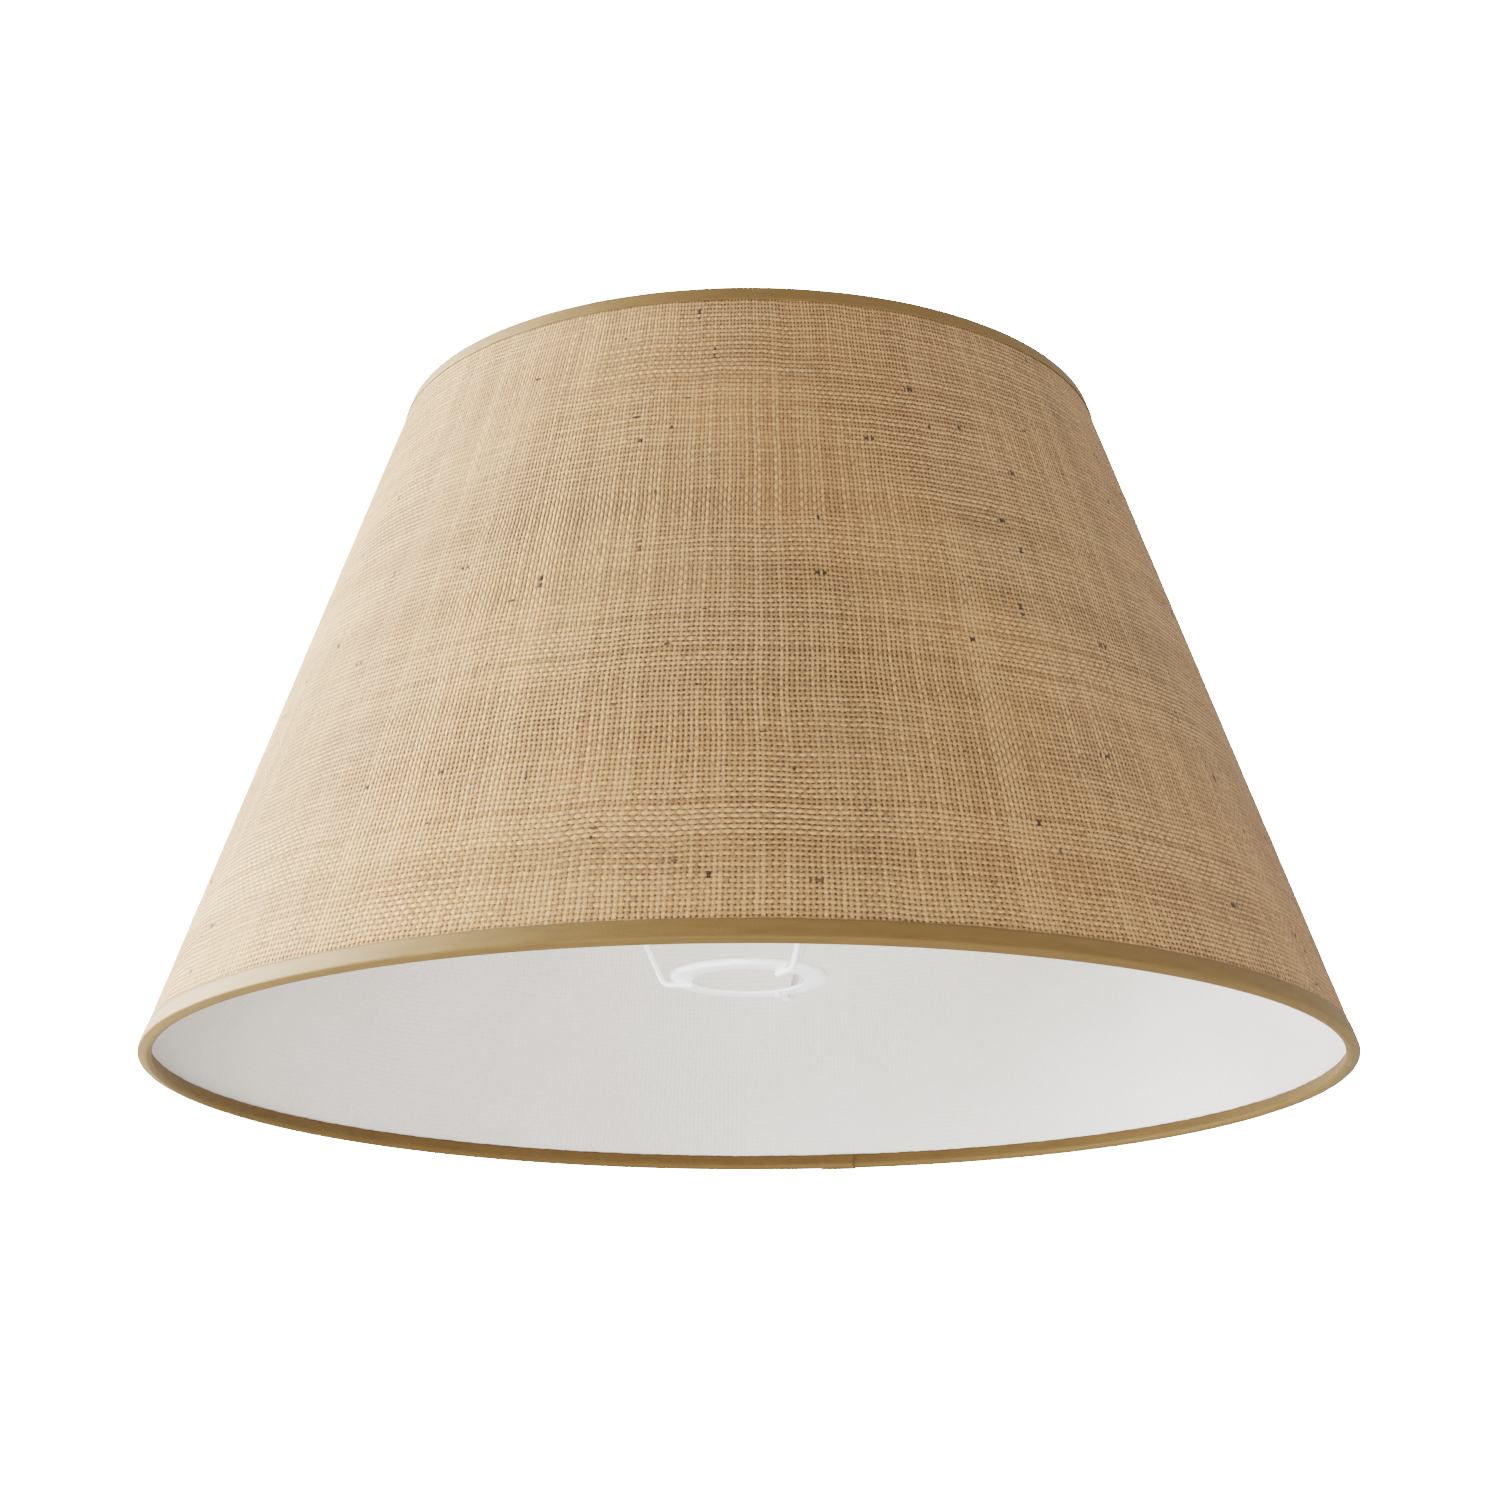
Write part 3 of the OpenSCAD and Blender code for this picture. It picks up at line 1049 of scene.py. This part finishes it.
def ring_profile():
    """The ring's section: underside, bend, lip and upper side, as distance from the axis and height."""
    low, high, e = ring_low.z, ring_high.z, PRESSED_EDGE
    profile = arc((ring_bore_r + e, low + e), e, 180, 270, 4)
    profile += arc((ring_r - ring_bend, low + ring_bend), ring_bend, 270, 360, 8)
    profile += arc((ring_r - e, high - e), e, 0, 90, 4)
    profile += arc((ring_r - ring_sheet + e, high - e), e, 90, 180, 4)
    profile += arc((ring_r - ring_bend, low + ring_bend), ring_bend - ring_sheet, 0, -90, 4)
    profile += arc((ring_bore_r + e, low + ring_sheet - e), e, 90, 180, 4)
    return profile


def build_ring():
    profile = ring_profile()
    turns = [FULL_TURN * number / RING_COLUMNS for number in range(RING_COLUMNS + 1)]
    sections = [[(r * math.sin(t), r * math.cos(t), z) for r, z in profile] for t in turns[:-1]]
    maps = [[(turn, k) for k in range(len(profile))] for turn in turns]
    return joined_shell("pressed_fitter_ring", sections, maps, "lathe", closed=True)


fitter = build_ring()
fitter.data.materials.append(powder_white)
hand_over(fitter, "fitter_ring")

# %% [markdown]
# ## Growing pieces with Geometry Nodes
#
# Wires that follow a path and fibres that are scattered over the cloth are grown by node trees. Three
# helpers do what each tree needs: make it with named inputs, end it with real geometry and a material,
# and run it on a host mesh.

# %% Helpers for node trees
def geometry_tree(name, inputs):
    """A Geometry Nodes tree with these named inputs: its graph, its input node and the sockets' keys."""
    tree = bpy.data.node_groups.new(name, "GeometryNodeTree")
    tree.interface.new_socket(name="Geometry", in_out="INPUT", socket_type="NodeSocketGeometry")
    keys = {}
    for label, kind in inputs.items():
        item = tree.interface.new_socket(name=label, in_out="INPUT", socket_type=kind)
        keys[label] = item.identifier
    tree.interface.new_socket(name="Geometry", in_out="OUTPUT", socket_type="NodeSocketGeometry")
    graph = Graph(tree)
    return graph, graph.node("NodeGroupInput").outputs, keys


def end_tree(graph, geometry, material):
    """Real geometry with its material, as the tree's output."""
    real = graph.node("GeometryNodeRealizeInstances", {}, {"Geometry": geometry}).outputs[0]
    dressed = graph.node("GeometryNodeSetMaterial", {}, {"Geometry": real, "Material": material})
    graph.node("NodeGroupOutput", {}, {"Geometry": dressed.outputs[0]})


def grown(name, host, graph, keys, values):
    """Runs a tree on a host mesh, and returns the result as a plain mesh object."""
    modifier = host.modifiers.new(name, "NODES")
    modifier.node_group = graph.tree
    for label, value in values.items():
        modifier[keys[label]] = value
    bpy.context.view_layer.update()
    evaluated = host.evaluated_get(bpy.context.evaluated_depsgraph_get())
    mesh = bpy.data.meshes.new_from_object(evaluated)
    mesh.name = name
    bpy.data.objects.remove(host)
    return in_scene(name, mesh)


print("ready to grow pieces")

# %% [markdown]
# ## The arms
#
# Each arm is one bent wire: a level foot under the flange, a bend, and a straight run to the top ring.
# That is a path with one corner, and Geometry Nodes turn a path into a wire: Fillet Curve rounds the
# corner to the bend's radius, and Curve to Mesh carries a circle along it. The spot weld is one more
# point of the input mesh, and a squashed sphere is set on it, as the bead that the powder has smoothed.

# %% Tree for a bent wire
PATH_POINTS = 3


def wire_tree():
    """The wire follows the mesh's first points. Any further point is a weld."""
    inputs = {
        "Wire radius": "NodeSocketFloat",
        "Bend radius": "NodeSocketFloat",
        "Bead": "NodeSocketVector",
        "Bead turn": "NodeSocketVector",
        "Finish": "NodeSocketMaterial",
    }
    graph, given, keys = geometry_tree("bent_wire", inputs)
    path = graph.node("GeometryNodeMeshToCurve", {}, {"Mesh": given["Geometry"]}).outputs[0]
    rounding = {"Curve": path, "Radius": given["Bend radius"], "Count": 10}
    path = graph.node("GeometryNodeFilletCurve", {"mode": "POLY"}, rounding).outputs[0]
    ring = {"Resolution": 24, "Radius": given["Wire radius"]}
    circle = graph.node("GeometryNodeCurvePrimitiveCircle", {}, ring).outputs[0]
    sweep = {"Curve": path, "Profile Curve": circle, "Fill Caps": True}
    wire = graph.node("GeometryNodeCurveToMesh", {}, sweep).outputs[0]
    ball = graph.node("GeometryNodeMeshUVSphere", {}, {"Segments": 24, "Rings": 12, "Radius": 1.0}).outputs[0]
    number = Term(graph, graph.node("GeometryNodeInputIndex").outputs[0])
    welds = number.math("GREATER_THAN", PATH_POINTS - 0.5)
    beads = {
        "Points": given["Geometry"],
        "Selection": welds,
        "Instance": ball,
        "Rotation": given["Bead turn"],
        "Scale": given["Bead"],
    }
    beads = graph.node("GeometryNodeInstanceOnPoints", {}, beads).outputs[0]
    both = graph.node("GeometryNodeJoinGeometry")
    graph.feed(both.inputs[0], wire)
    graph.feed(both.inputs[0], beads)
    soft = graph.node("GeometryNodeSetShadeSmooth", {}, {"Geometry": both.outputs[0]}).outputs[0]
    end_tree(graph, soft, given["Finish"])
    return graph, keys


wire_graph, wire_keys = wire_tree()
print("bent wire:", len(wire_graph.tree.nodes), "nodes")

# %% Build the arms
STANDOFF = 2 * MM
BEND_RADIUS = 3 * MM
BEAD = (3.0 * MM, 2.1 * MM, 0.9 * MM)


def arm_points(node):
    """Distance from the axis, and height, of an arm's points."""
    return [(math.hypot(v.co.x, v.co.y), v.co.z) for v in frame["nodes"][node].data.vertices]


def build_arm(node):
    """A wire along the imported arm: its foot's end, its knee and the top ring."""
    turn = arm_turn(node)
    foot_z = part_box(node)[0].z + arm_r
    foot_r = min(r for r, z in arm_points(node))
    knee_r = ring_r + STANDOFF
    outline = ((foot_r, foot_z), (knee_r, foot_z), (top_wire_r, top_wire_z))
    weld = ((ring_bore_r + ring_r) / 2, ring_low.z - 0.1 * MM)
    points = [(r * math.sin(turn), r * math.cos(turn), z) for r, z in (*outline, weld)]
    mesh = bpy.data.meshes.new(node + "_path")
    mesh.from_pydata(points, [(0, 1), (1, 2)], [])
    host = in_scene(node + "_path", mesh)
    values = {
        "Wire radius": arm_r,
        "Bend radius": BEND_RADIUS,
        "Bead": BEAD,
        "Bead turn": (0.0, 0.0, math.pi / 2 - turn),
        "Finish": powder_white,
    }
    return grown("wire_" + node, host, wire_graph, wire_keys, values)


for node in ARMS:
    hand_over(build_arm(node), node)

# %% [markdown]
# ## Loose fibres and knots
#
# Raw jute is never clean. Fibre ends stand off the yarn and lie over the cloth, and the spinner
# leaves knots and bits of bark in it, which show as dark lumps along a thread. Both are scattered on
# the outer face. A tree does it in four steps: it places points with a fixed seed, stands each one on
# the cloth, turns it, and sets a small shape there with its own size.

# %% Tree for a scatter
def curled_fibre(graph):
    """A bent hair one metre long, thin and three-sided, to be scaled down."""
    bend = {"Resolution": 5, "Start": (-0.5, 0, 0), "Middle": (0.1, 0.28, 0.09), "End": (0.5, 0, 0)}
    hair = graph.node("GeometryNodeCurveQuadraticBezier", {}, bend).outputs[0]
    ring = graph.node("GeometryNodeCurvePrimitiveCircle", {}, {"Resolution": 3, "Radius": 0.011}).outputs[0]
    sweep = {"Curve": hair, "Profile Curve": ring, "Fill Caps": True}
    return graph.node("GeometryNodeCurveToMesh", {}, sweep).outputs[0]


def lumpy_knot(graph):
    """A lump half a metre in radius, roughened by noise, to be scaled down."""
    ball = graph.node("GeometryNodeMeshIcoSphere", {}, {"Radius": 0.5, "Subdivisions": 2}).outputs[0]
    place = graph.node("GeometryNodeInputPosition").outputs[0]
    rough = graph.noise(place, 3.1, 2) * 0.9 - 0.45
    out = graph.node("ShaderNodeVectorMath", {"operation": "SCALE"}, {0: place, "Scale": rough})
    return graph.node("GeometryNodeSetPosition", {}, {"Geometry": ball, "Offset": out.outputs[0]}).outputs[0]


def scatter_tree(name, shape):
    inputs = {
        "Density": "NodeSocketFloat",
        "Seed": "NodeSocketInt",
        "Smallest": "NodeSocketVector",
        "Largest": "NodeSocketVector",
        "Quarter turns": "NodeSocketFloat",
        "Finish": "NodeSocketMaterial",
    }
    graph, given, keys = geometry_tree(name, inputs)
    spread = {"Mesh": given["Geometry"], "Density": given["Density"], "Seed": given["Seed"]}
    points = graph.node("GeometryNodeDistributePointsOnFaces", {}, spread)
    draw = {"data_type": "FLOAT_VECTOR"}
    limits = {0: given["Smallest"], 1: given["Largest"], "Seed": 5}
    size = graph.node("FunctionNodeRandomValue", draw, limits).outputs[0]
    spin = Term(graph, graph.node("FunctionNodeRandomValue", {}, {2: 0.0, 3: 4.0, "Seed": 8}).outputs[1])
    steps = Term(graph, given["Quarter turns"])
    spin = (spin.floor() * steps + spin * (1 - steps)) * (FULL_TURN / 4)
    upright = {"Factor": 1.0, "Vector": points.outputs["Normal"]}
    stand = graph.node("FunctionNodeAlignRotationToVector", {"axis": "Z"}, upright).outputs[0]
    along = {"Rotation": stand, "Factor": 1.0, "Vector": (0.0, 0.0, 1.0)}
    settings = {"axis": "X", "pivot_axis": "Z"}
    stand = graph.node("FunctionNodeAlignRotationToVector", settings, along).outputs[0]
    turned = graph.node("FunctionNodeEulerToRotation", {}, {0: graph.vector(0, 0, spin)}).outputs[0]
    both = graph.node("FunctionNodeRotateRotation", {"rotation_space": "LOCAL"}, {0: stand, 1: turned})
    place = {
        "Points": points.outputs[0],
        "Instance": shape(graph),
        "Rotation": both.outputs[0],
        "Scale": size,
    }
    bits = graph.node("GeometryNodeInstanceOnPoints", {}, place).outputs[0]
    soft = graph.node("GeometryNodeSetShadeSmooth", {}, {"Geometry": bits}).outputs[0]
    end_tree(graph, soft, given["Finish"])
    return graph, keys


print("ready to scatter", curled_fibre.__name__, "and", lumpy_knot.__name__)

# %% The field that they are scattered on
FIELD_COLUMNS = 180
FIELD_ROWS = 9
FIELD_MARGIN = 9 * MM
START_MARGIN = 3 * MM
END_TURN = 0.14


def field(proud):
    """A plain cone over the cover's outer face, clear of the tapes and of the lap's step."""
    rows = np.linspace(FIELD_MARGIN, cover_len - FIELD_MARGIN, FIELD_ROWS)
    turns = np.linspace(START_MARGIN / high_r, FULL_TURN - END_TURN, FIELD_COLUMNS)
    points = [on_cone(turn, up, proud) for turn in turns for up in rows]
    corners = np.arange(len(points)).reshape(FIELD_COLUMNS, -1)
    quads = [corners[1:, :-1], corners[:-1, :-1], corners[:-1, 1:], corners[1:, 1:]]
    mesh = bpy.data.meshes.new("field")
    mesh.from_pydata(points, [], np.stack(quads, axis=-1).reshape(-1, 4)[:, ::-1].tolist())
    return in_scene("field", mesh)


def fibre_finish(name, pale, dark, roughness):
    material, graph, shader = finish_of(name, Sheen_Weight=0.08, Roughness=roughness)
    place = graph.node("ShaderNodeTexCoord").outputs["Object"]
    tone = graph.noise(place, 700, 2).above(0.35, 0.65)
    graph.feed(shader.inputs["Base Color"], graph.blend(tone, dark, pale))
    return material


loose_jute = fibre_finish("loose_fibre", (0.62, 0.52, 0.36), (0.36, 0.25, 0.13), 0.7)
bark_jute = fibre_finish("bark_knot", (0.13, 0.08, 0.042), (0.04, 0.024, 0.014), 0.85)
print("finishes:", loose_jute.name, "and", bark_jute.name)

# %% Scatter the fibres and the knots
LOOSE_DENSITY = 1000
KNOT_DENSITY = 460


def scattered(name, shape, proud, values):
    graph, keys = scatter_tree(name + "_tree", shape)
    hand_over(grown(name, field(proud), graph, keys, values))


scattered("loose_fibres", curled_fibre, 0.10 * MM, {
    "Density": LOOSE_DENSITY,
    "Seed": 4,
    "Smallest": (2.5 * MM, 2.5 * MM, 2 * MM),
    "Largest": (7.5 * MM, 6.5 * MM, 5 * MM),
    "Quarter turns": 0.0,
    "Finish": loose_jute,
})
scattered("bark_knots", lumpy_knot, 0.02 * MM, {
    "Density": KNOT_DENSITY,
    "Seed": 12,
    "Smallest": (1.2 * MM, 0.7 * MM, 0.2 * MM),
    "Largest": (3.4 * MM, 1.4 * MM, 0.4 * MM),
    "Quarter turns": 1.0,
    "Finish": bark_jute,
})

# %% [markdown]
# ## Pieces that are right as packed
#
# The two rim wires are rings of round wire sealed in the tapes, and the adhesive is a strip sealed in
# the lap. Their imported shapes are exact, so they stay, and only get their finishes.

# %% Finish the hidden pieces
for node, material in (
    ("top_wire_ring", wire_white),
    ("bottom_wire_ring", wire_white),
    ("lap_adhesive", adhesive),
):
    frame["nodes"][node].data.materials.clear()
    frame["nodes"][node].data.materials.append(material)
    print(node, "finished")
